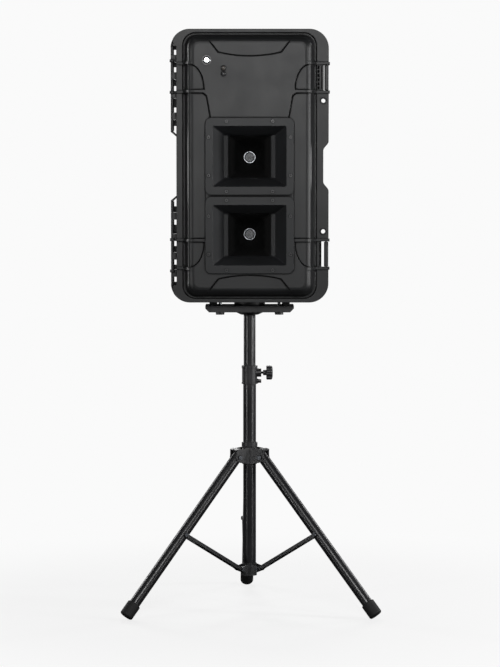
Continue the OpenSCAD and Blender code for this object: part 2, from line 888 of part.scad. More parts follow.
// The base has a knuckle in each gap that the lid leaves, and one at each end
module base_knuckles() {
    starts = concat([hinge_start_z], [for (z = lid_knuckle_z) z + lid_knuckle_l + knuckle_gap]);
    ends = concat([for (z = lid_knuckle_z) z - knuckle_gap], [hinge_end_z]);
    for (k = [0:len(starts) - 1])
        knuckle(starts[k], ends[k], min(starts[k] + knuckle_window, ends[k] - 4),
            seam_y + half_gap, seam_y + barrel_r);
    // Diagonal stay that closes the group towards the middle
    slab_y(seam_y + half_gap, seam_y + flange_t) polygon([
        [hinge_x - barrel_r, hinge_start_z + 2], [hinge_x - barrel_r, hinge_start_z - 3],
        [flange_l - 1, hinge_start_z - 16], [flange_l + 4, hinge_start_z - 16],
        [flange_l + 4, hinge_start_z - 9], [flange_l - 1, hinge_start_z - 9],
        [hinge_x + 2.5, hinge_start_z - 1], [hinge_x + 2.5, hinge_start_z + 2]]);
}

module hinge_bore() {
    bar_z(hinge_x, seam_y, hinge_start_z + 2, hinge_end_z + over, hinge_pin_d / 2 + pin_play);
}

// Ribs of the base run down both sides and across the back
module base_ribs() {
    out = body_w / 2 + rib_proud;
    for (side = [0, 1], z = rib_z) mirror([0, 0, side])
        slab_z(z - rib_t / 2, z + rib_t / 2) union() {
            rib_band(out, base_edge_r + rib_proud);
            polygon([[0, seam_y + half_gap], [rib_side_x, seam_y + half_gap],
                [rib_side_x, keeper_y + 4], [rib_side_x - 6, keeper_y + 11],
                [out, keeper_y + 17], [0, keeper_y + 17]]);
        }
}

// Plan of a rib: it leans in with the walls and rounds the two rear corners
module rib_band(out, r) {
    rear = [for (a = [0:15:90]) [out - body_draft - r + r * cos(a),
        back_y + rib_proud - r + r * sin(a)]];
    polygon(concat([[-out, seam_y + half_gap], [out, seam_y + half_gap]], rear,
        [for (k = [len(rear) - 1:-1:0]) [-rear[k][0], rear[k][1]]]));
}

// Two long skids on the back, on which the case lies or stacks
module back_skids() {
    skid_w = 34;
    skid_x = 104;
    skid_h = 560;
    skid_t = 6;
    for (x = [-1, 1]) translate([x * skid_x, 0, 0])
        slab_y(back_y - case_wall, back_y + skid_t) rounded_rect(skid_w, skid_h, 15);
}

module handle_lugs() {
    x0 = body_w / 2 - case_wall;
    for (side = [0, 1]) mirror([0, 0, side]) translate([0, 0, handle_w / 2 + seat])
        slab_z(0, lug_t) union() {
            translate([handle_x, handle_y]) circle(lug_r);
            translate([x0, handle_y - lug_r]) square([handle_x - x0, 2 * lug_r]);
        }
}

// Flat pad in the floor of the base, over the platform
module floor_pad() {
    play = 2;
    translate([0, 0, -body_h / 2]) slab_z(0, pad_t)
        rounded_rect(pan_w - 2 * play, pan_d - 2 * play, 6);
}

module case_base() {
    mouth = case_wall * 2;
    under = -body_h / 2 - over;
    color(black_plastic) case_frame() difference() {
        union() {
            difference() {
                union() {
                    rolled_block(body_w, body_h, body_corner_r, seam_y + half_gap, back_y,
                        body_draft, base_edge_r);
                    slab_y(seam_y + half_gap, seam_y + flange_t)
                        flange_outline(-case_w / 2);
                    padlock_rings(seam_y + half_gap, seam_y + flange_t + 2);
                    base_ribs();
                    back_skids();
                    handle_lugs();
                }
                rolled_block(body_w - mouth, body_h - mouth, body_corner_r - case_wall,
                    seam_y - over, back_y - case_wall, body_draft, base_edge_r - case_wall);
            }
            both_ends() base_knuckles();
            floor_pad();
        }
        both_ends() hinge_bore();
        both_ends() bar_z(latch_pin_x, keeper_y, latch_z0 - rib_t / 2, latch_z1 + rib_t / 2,
            latch_pin_r + fit_play);
        both_ends() bar_z(handle_x, handle_y, handle_w / 2, handle_w / 2 + lug_t - 2,
            handle_pin_r + fit_play);
        bar_z(0, 0, under, pad_t - body_h / 2 + over, socket_r + fit_play);
        platform_bolt_places() bar_z(0, 0, under, pad_t - body_h / 2 + over,
            bolt_r + fit_play);
    }
}

// Sunk panel at each end of the lid face: a shallow arc with flared sides
module end_bay(inset) {
    half = 92;
    floor_z = 313;
    sag = 11;
    flare_x = 134;
    flare_z = 378;
    half_in = half - inset * 0.8;
    flare_in = flare_x - inset * 1.25;
    polygon(concat([for (t = [-1:0.2:1]) [half_in * t, floor_z + inset + sag * t * t]],
        [[flare_in, flare_z], [flare_in + 3, case_h], [-flare_in - 3, case_h],
        [-flare_in, flare_z]]));
}

// Sunk panel between two ribs: a quarter of an ellipse
module fin_bay(inset) {
    root_x = 172;
    wide = 43 - inset;
    z0 = latch_z0 + inset * 0.6;
    z1 = latch_z1 - inset * 0.8;
    polygon(concat([for (a = [0:10:90]) [root_x - wide * cos(a), z0 + (z1 - z0) * sin(a)]],
        [[case_w, z1], [case_w, z0]]));
}

// Sunk panel beside the horns
module side_bay(inset) {
    top = rib_inner - rib_t / 2 - inset * 0.8;
    polygon([[case_w, top], [134 + inset * 0.6, top], [122 + inset, top - 8],
        [109 + inset, 128], [109 + inset, -top], [case_w, -top]]);
}

// What stays raised on the lid face
module sunk_bays(inset) {
    for (side = [0, 1]) mirror([0, side]) {
        end_bay(inset);
        for (wing = [0, 1]) mirror([wing, 0]) fin_bay(inset);
    }
    for (wing = [0, 1]) mirror([wing, 0]) side_bay(inset);
}

module horn_pad() {
    translate([0, horn_pair_z])
        rounded_rect(horn_w - 3, horn_h + horn_pitch - 3, horn_corner_r);
}

module raised_outline() {
    difference() {
        rounded_rect(lid_w, lid_h, lid_corner_r);
        sunk_bays(0);
    }
    horn_pad();
}

// Narrow groove that follows the edge of each sunk panel
module bay_groove() {
    slab_y(front_y + panel_sink - 1, front_y + panel_sink + bay_groove_d) difference() {
        sunk_bays(0);
        sunk_bays(bay_groove_w);
        horn_pad();
    }
}

// Narrow groove in the flange round the foot of the lid wall
module foot_groove() {
    near = 2.5;
    far = near + foot_groove_w;
    slab_y(seam_y - flange_t - 1, seam_y - flange_t + foot_groove_d) difference() {
        rounded_rect(lid_w + 2 * far, lid_h + 2 * far, lid_corner_r + far);
        rounded_rect(lid_w + 2 * near, lid_h + 2 * near, lid_corner_r + near);
    }
}

// Bar of the flange that closes the gap beside the upper latch
module latch_shield() {
    slab_y(seam_y - flange_t, seam_y - half_gap) translate([notch_x - 1, latch_z0 - 1])
        square([latch_off - shield_play + 1, latch_z1 - latch_z0 + 2]);
}

// Pockets in the flange beside the latches: a row of cells above, one long slot below
module latch_pockets() {
    run = latch_z1 - latch_z0;
    cells = 6;
    pitch = (run - 4) / cells;
    deep = flange_t - half_gap - 2;
    slab_y(seam_y - flange_t - over, seam_y - flange_t + deep) {
        for (k = [0:cells - 1]) translate([notch_x - 12, latch_z0 + 4 + k * pitch])
            square([5, pitch - 4]);
        translate([notch_x - 1.2, latch_z0 + 4]) square([1.8, run - 8]);
        mirror([0, 1]) translate([notch_x - 6, latch_z0 + 4]) square([4.4, run - 8]);
    }
}

// Ribs of the lid run over the flange and up the wall to the face
module lid_ribs() {
    for (side = [0, 1], wing = [-1, 1], z = rib_z) mirror([0, 0, side])
        slab_z(z - rib_t / 2, z + rib_t / 2) polygon(rib_over_lid(wing));
}

function rib_over_lid(wing) =
    let (foot = lid_w / 2, edge = wing < 0 ? -flange_l : rib_side_x,
        top = seam_y - flange_t - rib_proud)
    [for (p = [[foot - 40, seam_y - half_gap], [edge, seam_y - half_gap], [edge, top + 1],
        [foot + rib_proud, top], [foot - lid_draft + rib_proud, front_y + lid_edge_r],
        [foot - lid_draft - 3, front_y + lid_edge_r / 3], [foot - lid_draft - 12, front_y + 1],
        [foot - 40, front_y + 1]]) [wing * p[0], p[1]]];

module gear_posts() {
    for (x = [-1, 1], z = [-1, 1])
        bar_y(amp_x + x * (amp_w / 2 - post_in), gear_z + z * (amp_h / 2 - post_in),
            lid_floor_y - 1, amp_y, post_r);
    for (x = [-1, 1], z = [-1, 1])
        bar_y(battery_x + x * (battery_w / 2 - post_in), gear_z + z * (amp_h / 2 - post_in),
            lid_floor_y - 1, amp_y, post_r);
}

module case_lid() {
    slim = 2 * case_wall;
    color(black_plastic) case_frame() difference() {
        union() {
            difference() {
                union() {
                    rolled_block(lid_w, lid_h, lid_corner_r, seam_y - half_gap,
                        front_y + panel_sink, lid_draft, sunk_edge_r);
                    intersection() {
                        rolled_block(lid_w, lid_h, lid_corner_r, seam_y - half_gap, front_y,
                            lid_draft, lid_edge_r);
                        slab_y(front_y - over, seam_y - flange_t) raised_outline();
                    }
                    difference() {
                        slab_y(seam_y - flange_t, seam_y - half_gap)
                            flange_outline(hinge_x + 2);
                        foot_groove();
                    }
                    latch_shield();
                    padlock_rings(seam_y - flange_t - 2, seam_y - half_gap);
                    lid_ribs();
                }
                rolled_block(lid_w - slim, lid_h - slim, lid_corner_r - case_wall,
                    seam_y + over, lid_floor_y, lid_draft, sunk_edge_r - case_wall);
            }
            both_ends() lid_knuckles();
            gear_posts();
        }
        both_ends() hinge_bore();
        both_ends() bar_z(latch_pin_x, pivot_y, latch_z0 - rib_t / 2, latch_z1 + rib_t / 2,
            latch_pin_r + fit_play);
        slab_y(seam_y - half_gap - seal_t, seam_y + over) seal_outline(0);
        bay_groove();
        latch_pockets();
        for (z = horn_z) slab_y(front_y - over, lid_floor_y + over) translate([0, z])
            rounded_rect(mouth_w + 11, mouth_h + 11, 12);
        bar_y(button_x, button_z, front_y - over, lid_floor_y + over,
            button_r + button_play + 1.2 + fit_play);
        for (k = [0, 1]) bar_y(light_x, light_z - k * light_pitch, front_y - over,
            lid_floor_y + over, light_r + fit_play);
    }
}

// Outline of the seal, which faces the rim of the base all round
seal_t = 4;

module seal_outline(play) {
    difference() {
        rounded_rect(body_w - 2 * play, body_h - 2 * play, body_corner_r - play);
        rounded_rect(body_w - 2 * case_wall + 2 * play, body_h - 2 * case_wall + 2 * play,
            body_corner_r - case_wall + play);
    }
}

// Rubber seal in a groove along the rim of the lid
module lid_seal() {
    color(rubber_black) case_frame()
        slab_y(seam_y - half_gap - seal_t + fit_play, seam_y - half_gap) seal_outline(seat);
}

module hinge_pin(side) {
    color(bright_steel) case_frame() mirror([0, 0, side])
        bar_z(hinge_x, seam_y, hinge_start_z + 3, hinge_end_z, hinge_pin_d / 2);
}

module latch_pins() {
    color(bright_steel) case_frame() both_ends()
        bar_z(latch_pin_x, pivot_y, latch_z0 - rib_t / 2 + 1, latch_z1 + rib_t / 2 - 1,
            latch_pin_r);
}

module keeper_pins() {
    color(bright_steel) case_frame() both_ends()
        bar_z(latch_pin_x, keeper_y, latch_z0 - rib_t / 2 + 1, latch_z1 + rib_t / 2 - 1,
            latch_pin_r);
}

// Plan of a latch: a nose on its pin, a hook around the keeper pin and an arm behind it
module latch_profile() {
    plate_t = latch_t / 2 - latch_pin_r - 2 * seat;
    hook_open = 3;
    outer = latch_x + latch_t;
    difference() {
        union() {
            translate([latch_x, pivot_y]) square([latch_t, hook_y - pivot_y]);
            translate([latch_pin_x, pivot_y]) rounded_rect(latch_t, latch_t, 3);
            translate([outer - arm_t, hook_y - 1]) square([arm_t, trigger_y + 7 - hook_y]);
        }
        intersection() {
            difference() {
                translate([latch_pin_x, pivot_y]) circle(hook_r1, $fn = 96);
                translate([latch_pin_x, pivot_y]) circle(hook_r0, $fn = 96);
            }
            translate([latch_x - over, pivot_y])
                square([latch_t - plate_t + over, hook_r1 + hook_lip]);
        }
        translate([latch_x - over, hook_y - hook_lip - over])
            square([hook_open + over, hook_lip + 2 * over]);
        translate([latch_pin_x, pivot_y]) circle(latch_pin_r + pin_play);
    }
}

module latch(side) {
    pocket_z = (latch_z0 + latch_z1) / 2;
    color(black_plastic) case_frame() mirror([0, 0, side]) difference() {
        slab_z(latch_z0 + latch_end_gap, latch_z1 - latch_end_gap) latch_profile();
        // Pocket for the finger flap
        translate([latch_x - over, trigger_y - trigger_eye_r - 1,
            pocket_z - trigger_h / 2 - seat])
            cube([latch_t + 2 * over, trigger_l + 5, trigger_h + 2 * seat]);
        bar_z(trigger_x, trigger_y, latch_z0, latch_z1, trigger_pin_r + pin_play);
    }
}

module trigger(side) {
    pocket_z = (latch_z0 + latch_z1) / 2;
    eye = trigger_eye_r;
    color(black_plastic) case_frame() mirror([0, 0, side]) translate([0, 0, pocket_z]) {
        translate([trigger_x, trigger_y]) slab_z(-trigger_h / 2, trigger_h / 2) union() {
            circle(eye);
            polygon([[-eye, 0], [eye, 0], [eye, trigger_l - 4], [1.5, trigger_l],
                [-2, trigger_l - 2], [-0.5, 6]]);
        }
        bar_z(trigger_x, trigger_y, -trigger_h / 2 - 7, trigger_h / 2 + 7, trigger_pin_r);
    }
}

// Folding handle: a grip and two arms
module handle_grip() {
    w = handle_w;
    grip = 20;
    y1 = handle_y + handle_l;
    color(black_plastic) case_frame() difference() {
        union() {
            for (side = [0, 1]) mirror([0, 0, side])
                slab_z(w / 2 - handle_arm, w / 2) union() {
                    translate([handle_x, handle_y]) circle(handle_t / 2);
                    translate([handle_x - handle_t / 2, handle_y])
                        square([handle_t, handle_l - handle_t / 2]);
                }
            translate([handle_x, y1 - grip / 2, 0]) slab_z(-w / 2, w / 2)
                rounded_rect(handle_t, grip, handle_t / 2 - 0.5);
        }
        bar_z(handle_x, handle_y, -w, w, handle_pin_r + pin_play);
    }
}

module handle_pins() {
    color(bright_steel) case_frame() both_ends()
        bar_z(handle_x, handle_y, handle_w / 2 - handle_arm + 2, handle_w / 2 + lug_t - 3,
            handle_pin_r);
}

// ---------------------------------------------------------------- horns and drivers

// A thin rounded rectangle across the horn, as a child of a hull
module horn_section(y, w, h, r) {
    slab_y(y, y + skin) rounded_rect(w, h, r);
}

module horn(z) {
    grow = 2 * horn_wall;
    color(black_plastic) case_frame() translate([0, 0, z]) difference() {
        union() {
            slab_y(horn_face_y, horn_seat_y) rounded_rect(horn_w, horn_h, horn_corner_r);
            hull() {
                horn_section(horn_seat_y - 1, mouth_w + grow, mouth_h + grow, 8);
                horn_section(deep_y, knee_w + grow, knee_h + grow, 8);
            }
            hull() {
                horn_section(deep_y, deep_w + grow, knee_h + grow, 8);
                bar_y(0, 0, throat_y, throat_y + 1, throat_r + horn_wall);
            }
            bar_y(0, 0, throat_y, throat_y + throat_flange_t, throat_flange_r);
        }
        hull() {
            horn_section(horn_face_y - over, mouth_w + 2, mouth_h + 2, 4);
            horn_section(knee_y, knee_w, knee_h, 4);
        }
        hull() {
            horn_section(knee_y - skin, knee_w, knee_h, 4);
            horn_section(deep_y, deep_w, knee_h - 2, 4);
        }
        hull() {
            horn_section(deep_y - skin, deep_w, knee_h - 2, 4);
            bar_y(0, 0, throat_y - skin, throat_y, throat_r);
        }
        bar_y(0, 0, throat_y - over, throat_y + throat_flange_t + over, throat_r);
    }
}

// Eight screws: two along each edge of the flange
module horn_screws(z) {
    head_t = 2.6;
    color(black_steel) case_frame() translate([0, 0, z])
        for (p = concat([for (x = [-1, 1], s = [-1, 1])
                [x * horn_screw_x, s * (horn_h / 2 - horn_screw_in)]],
            [for (x = [-1, 1], s = [-1, 1])
                [x * (horn_w / 2 - horn_screw_in + 0.5), s * horn_screw_z]]))
            difference() {
                bar_y(p[0], p[1], horn_face_y - head_t, horn_face_y, horn_screw_r);
                translate([p[0], horn_face_y - head_t - over, p[1]]) rotate([-90, 0, 0])
                    cylinder(h = 1.4 + over, r = 2.4, $fn = 6);
            }
}

// Perforated screen across the throat
module throat_screen(z) {
    rim = 2.5;
    hole_r = 1.5;
    pitch = 4.2;
    color(screen_grey) case_frame() translate([0, 0, z]) {
        slab_y(throat_y + 1, throat_y + 3) difference() {
            circle(throat_r - fit_play);
            circle(throat_r - rim);
        }
        slab_y(throat_y + 1, throat_y + 2) difference() {
            circle(throat_r - rim + 0.2);
            for (ring = [0:3], k = [0:max(6 * ring - 1, 0)])
                rotate(ring == 0 ? 0 : 60 * k / ring)
                    translate([ring * pitch, 0]) circle(hole_r, $fn = 8);
        }
    }
}

module driver(z) {
    step = 10;
    bolt_ring_r = 42;
    terminal = 12;
    color(black_steel) case_frame() translate([0, 0, z]) {
        difference() {
            translate([0, driver_y, 0]) rotate([-90, 0, 0]) rotate_extrude() polygon([
                [throat_r, 0], [throat_flange_r, 0], [driver_r - 6, step],
                [driver_r, step + 4], [driver_r, driver_l - 22], [driver_r - 4, driver_l - 18],
                [driver_r - 16, driver_l - 4], [driver_r - 20, driver_l],
                [0, driver_l], [0, step], [throat_r - 6, step]]);
        }
        translate([-terminal, driver_y + driver_l - 16, driver_r - 22])
            cube([2 * terminal, 10, 16]);
    }
}

// ---------------------------------------------------------------- electronics in the lid

module amp_chassis() {
    fin_t = 2.4;
    fins = 9;
    fin_h = 12;
    y1 = amp_y + amp_d;
    wall = 2.5;
    color("#3a3c3f") case_frame() translate([amp_x, 0, gear_z]) {
        difference() {
            slab_y(amp_y, y1 - fin_h) rounded_rect(amp_w, amp_h, 4);
            slab_y(amp_y + wall, y1 - fin_h - wall)
                rounded_rect(amp_w - 2 * wall, amp_h - 2 * wall, 2);
        }
        for (k = [0:fins - 1]) translate([0, 0,
            amp_h / 2 - fin_t / 2 - 3 - k * (amp_h - panel_h - 10) / (fins - 1)])
            slab_y(y1 - fin_h - 1, y1) square([amp_w - 8, fin_t], center = true);
    }
}

panel_y = amp_y + amp_d - 12;
panel_z = gear_z - amp_h / 2 + panel_h / 2;
jack_x = [amp_x - 14, amp_x + 6];
jack_r = 6;

module control_panel() {
    color(black_plastic) case_frame() difference() {
        translate([amp_x, 0, panel_z]) slab_y(panel_y, panel_y + panel_t)
            rounded_rect(amp_w - 4, panel_h - 4, 3);
        bar_y(knob_pos_x, panel_z, panel_y - over, panel_y + panel_t + over, 3 + pin_play);
        for (x = jack_x) bar_y(x - 20, panel_z, panel_y - over, panel_y + panel_t + over,
            jack_r + fit_play);
    }
}

// Microphone and charger sockets
module panel_sockets() {
    color(black_steel) case_frame() for (x = jack_x) difference() {
        union() {
            bar_y(x - 20, panel_z, panel_y + fit_play, panel_y + panel_t, jack_r);
            bar_y(x - 20, panel_z, panel_y + panel_t, panel_y + panel_t + 3, jack_r + 2);
        }
        bar_y(x - 20, panel_z, panel_y + panel_t - 1, panel_y + panel_t + 3 + over, 3.2);
    }
}

module volume_knob() {
    knob_r = 10;
    knob_h = 14;
    y0 = panel_y + panel_t + seat;
    color(black_plastic) case_frame() {
        difference() {
            bar_y(knob_pos_x, panel_z, y0, y0 + knob_h, knob_r);
            translate([knob_pos_x - 0.6, y0 + knob_h - 1, panel_z])
                cube([1.2, 1 + over, knob_r + over]);
        }
        bar_y(knob_pos_x, panel_z, panel_y + fit_play, y0 + 1, 3);
    }
}

module battery_bracket() {
    lip = 16;
    w = battery_w + 2 * bracket_t;
    h = amp_h + 2 * bracket_t;
    color("#3a3c3f") case_frame() translate([battery_x, 0, gear_z]) difference() {
        slab_y(amp_y, amp_y + bracket_t + lip) rounded_rect(w, h, 6);
        slab_y(amp_y + bracket_t, amp_y + bracket_t + lip + over)
            rounded_rect(w - 2 * bracket_t, h - 2 * bracket_t, 4);
    }
}

module battery_pack() {
    y0 = amp_y + bracket_t;
    color(black_plastic) case_frame() translate([battery_x, 0, gear_z]) union() {
        slab_y(y0, y0 + battery_d) rounded_rect(battery_w - 2 * seat, amp_h - 2 * seat, 6);
        translate([battery_w / 2 - 30, 0, 0]) slab_y(y0 + battery_d - 1, y0 + battery_d + 4)
            rounded_rect(24, 14, 3);
    }
}

// ---------------------------------------------------------------- button and lights

module power_button() {
    dome = 1.2;
    color(bright_steel) case_frame() translate([button_x, front_y - 2.6, button_z])
        rotate([-90, 0, 0]) rotate_extrude() polygon([[0, -dome], [button_r * 0.6, -dome],
            [button_r - 0.6, -0.3], [button_r, 0.6], [button_r, 8], [button_stem_r, 8],
            [button_stem_r, 18], [0, 18]]);
}

module button_bezel() {
    in_r = button_r + button_play;
    out_r = in_r + 1.2;
    depth = 16;
    floor_t = 3;
    color(black_steel) case_frame() translate([button_x, front_y, button_z])
        rotate([-90, 0, 0]) rotate_extrude() polygon([[in_r, -bezel_t], [bezel_r, -bezel_t],
            [bezel_r, -fit_play], [out_r, -fit_play], [out_r, depth],
            [button_stem_r + button_play, depth], [button_stem_r + button_play, depth - floor_t],
            [in_r, depth - floor_t]]);
}

module status_lights() {
    color(black_steel) case_frame() for (k = [0, 1])
        translate([light_x, front_y, light_z - k * light_pitch]) rotate([-90, 0, 0])
            rotate_extrude() polygon([[0, -1], [2.6, -1], [2.9, -2], [light_bezel_r - 0.8, -2],
                [light_bezel_r, -1.2], [light_bezel_r, -fit_play], [light_r, -fit_play],
                [light_r, 14], [0, 14]]);
}

lower_tube();
tube_plug();
bottom_collar();
collar_bolts();
height_collar();
collar_screw();
height_knob();
upper_pole();
pole_plugs();
leg_hub();
hub_bolts();
leg(0);  // leg_left
leg(1);  // leg_right
leg(2);  // leg_rear
foot(0);  // foot_left
foot(1);  // foot_right
foot(2);  // foot_rear
brace(0);  // brace_left
brace(1);  // brace_right
brace(2);  // brace_rear
brace_rivets(0);  // brace_rivets_left
brace_rivets(1);  // brace_rivets_right
brace_rivets(2);  // brace_rivets_rear
platform();
platform_spacers();
platform_bolts();
platform_nuts();
socket_spacer();
pole_socket();
case_base();
case_lid();
lid_seal();
hinge_pin(0);  // hinge_pin_upper
hinge_pin(1);  // hinge_pin_lower
latch_pins();
keeper_pins();
latch(0);  // latch_upper
latch(1);  // latch_lower
trigger(0);  // trigger_upper
trigger(1);  // trigger_lower
handle_grip();
handle_pins();
horn(horn_z[0]);  // horn_upper
horn(horn_z[1]);  // horn_lower
horn_screws(horn_z[0]);  // horn_screws_upper
horn_screws(horn_z[1]);  // horn_screws_lower
throat_screen(horn_z[0]);  // throat_screen_upper
throat_screen(horn_z[1]);  // throat_screen_lower
driver(horn_z[0]);  // driver_upper
driver(horn_z[1]);  // driver_lower
amp_chassis();
control_panel();
panel_sockets();
volume_knob();
battery_pack();
battery_bracket();
power_button();
button_bezel();
status_lights();
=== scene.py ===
"""Portable PA speaker on its tripod stand: camera, studio, finishes and fine detail."""
import json
import math

import bpy
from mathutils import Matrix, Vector


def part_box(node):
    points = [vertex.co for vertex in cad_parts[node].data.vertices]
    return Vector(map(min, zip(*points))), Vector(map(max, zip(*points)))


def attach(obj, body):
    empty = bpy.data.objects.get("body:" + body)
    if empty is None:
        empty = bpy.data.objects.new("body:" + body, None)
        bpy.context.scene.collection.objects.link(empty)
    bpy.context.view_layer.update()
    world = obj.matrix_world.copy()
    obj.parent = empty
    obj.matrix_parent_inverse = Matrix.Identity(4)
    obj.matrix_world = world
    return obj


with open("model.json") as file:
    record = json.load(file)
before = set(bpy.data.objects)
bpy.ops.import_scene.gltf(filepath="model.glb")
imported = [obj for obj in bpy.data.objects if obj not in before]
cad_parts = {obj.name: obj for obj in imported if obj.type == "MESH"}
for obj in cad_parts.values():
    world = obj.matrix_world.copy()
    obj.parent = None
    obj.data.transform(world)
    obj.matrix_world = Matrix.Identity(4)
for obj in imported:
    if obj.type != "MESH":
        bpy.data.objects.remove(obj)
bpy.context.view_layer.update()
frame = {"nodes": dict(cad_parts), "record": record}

NODES = frame["nodes"]
MM = 0.001

# ------------------------------------------------------------------ camera

CAMERA_SIDE = 0.0012  # metres to the right of the pole
CAMERA_BACK = 7.003  # metres in front of the pole
CAMERA_HEIGHT = 1.2408
CAMERA_TILT = 3.465  # degrees below level
SENSOR_HEIGHT = 36  # mm
FRAME_HEIGHT = 667
FOCAL_LENGTH = 2370  # in the units of FRAME_HEIGHT


def place_camera():
    """The viewpoint, in line with the pole."""
    low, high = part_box("upper_pole")
    pole = (low + high) / 2
    bpy.ops.object.camera_add(
        location=(pole.x + CAMERA_SIDE, pole.y - CAMERA_BACK, CAMERA_HEIGHT),
        rotation=(math.radians(90 - CAMERA_TILT), 0, 0),
    )
    camera = bpy.context.object
    camera.name = "studio_camera"
    camera.data.sensor_fit = "VERTICAL"
    camera.data.sensor_height = SENSOR_HEIGHT
    camera.data.lens = FOCAL_LENGTH / FRAME_HEIGHT * SENSOR_HEIGHT
    bpy.context.scene.camera = camera


place_camera()

# ------------------------------------------------------------------ making materials

# Sockets of a Mix node that an RGBA mix reads and gives
MIX_FACTOR, MIX_A, MIX_B = 0, 6, 7
MIX_RESULT = 2

# How far the rounded normal leans from the flat one, as the cosine between them
EDGE_STARTS = 0.955
EDGE_FULL = 0.78
EDGE_SAMPLES = 12

# Share of open air, below which the painted shade in a crevice is black and above which a
# surface has none
PAINTED_SHADE_BLACK = 0.42
PAINTED_SHADE_CLEAR = 0.88
PAINTED_SHADE_SAMPLES = 8

# Noise values where the mottle reaches its deep and its base colour, and its gloss swing
MOTTLE_DEEP = 0.3
MOTTLE_BASE = 0.72
GLOSS_LOW = 0.3
GLOSS_HIGH = 0.7
SMOOTHER = 0.02
ROUGHER = 0.03

RUB_MM = 9  # size of the patches in which an edge is rubbed


def hex_colour(text):
    """An sRGB hex colour as the linear values that Blender works in."""
    out = []
    for k in (1, 3, 5):
        c = int(text[k : k + 2], 16) / 255
        out.append(c / 12.92 if c <= 0.04045 else ((c + 0.055) / 1.055) ** 2.4)
    return (*out, 1.0)


def add_node(tree, kind, inputs=None, **settings):
    """A node with its settings, its input values and its links."""
    node = tree.nodes.new(kind)
    for name, value in settings.items():
        setattr(node, name, value)
    for name, value in (inputs or {}).items():
        if isinstance(value, bpy.types.NodeSocket):
            tree.links.new(value, node.inputs[name])
        else:
            node.inputs[name].default_value = value
    return node


def new_material(name, **sockets):
    """A material, its node tree and its shader. An underscore stands for a space in a
    socket's name."""
    material = bpy.data.materials.new(name)
    material.use_nodes = True
    shader = material.node_tree.nodes["Principled BSDF"]
    for socket, value in sockets.items():
        shader.inputs[socket.replace("_", " ")].default_value = value
    return material, material.node_tree, shader


def per_metre(size_mm):
    """Pattern scale at which one feature is size_mm across."""
    return 1 / (size_mm * MM)


def worn_edge(tree, radius_mm):
    """The rounded normal, and a mask that is 1 on an edge and 0 on the flats."""
    round_normal = add_node(
        tree, "ShaderNodeBevel", {"Radius": radius_mm * MM}, samples=EDGE_SAMPLES
    ).outputs["Normal"]
    flat_normal = add_node(tree, "ShaderNodeNewGeometry").outputs["Normal"]
    match = add_node(
        tree,
        "ShaderNodeVectorMath",
        {0: round_normal, 1: flat_normal},
        operation="DOT_PRODUCT",
    ).outputs["Value"]
    edge = add_node(
        tree,
        "ShaderNodeMapRange",
        {
            "Value": match,
            "From Min": EDGE_STARTS,
            "From Max": EDGE_FULL,
            "To Min": 0,
            "To Max": 1,
        },
    ).outputs["Result"]
    return round_normal, edge


def painted_crevice_shade(tree, reach_mm):
    """Painted shade: 1 on open surfaces and 0 deep in a groove or a tight corner, a
    factor that darkens the colour.
    """
    shade = add_node(
        tree,
        "ShaderNodeAmbientOcclusion",
        {"Distance": reach_mm * MM},
        samples=PAINTED_SHADE_SAMPLES,
    ).outputs["AO"]
    return add_node(
        tree,
        "ShaderNodeMapRange",
        {
            "Value": shade,
            "From Min": PAINTED_SHADE_BLACK,
            "From Max": PAINTED_SHADE_CLEAR,
            "To Min": 0,
            "To Max": 1,
        },
    ).outputs["Result"]


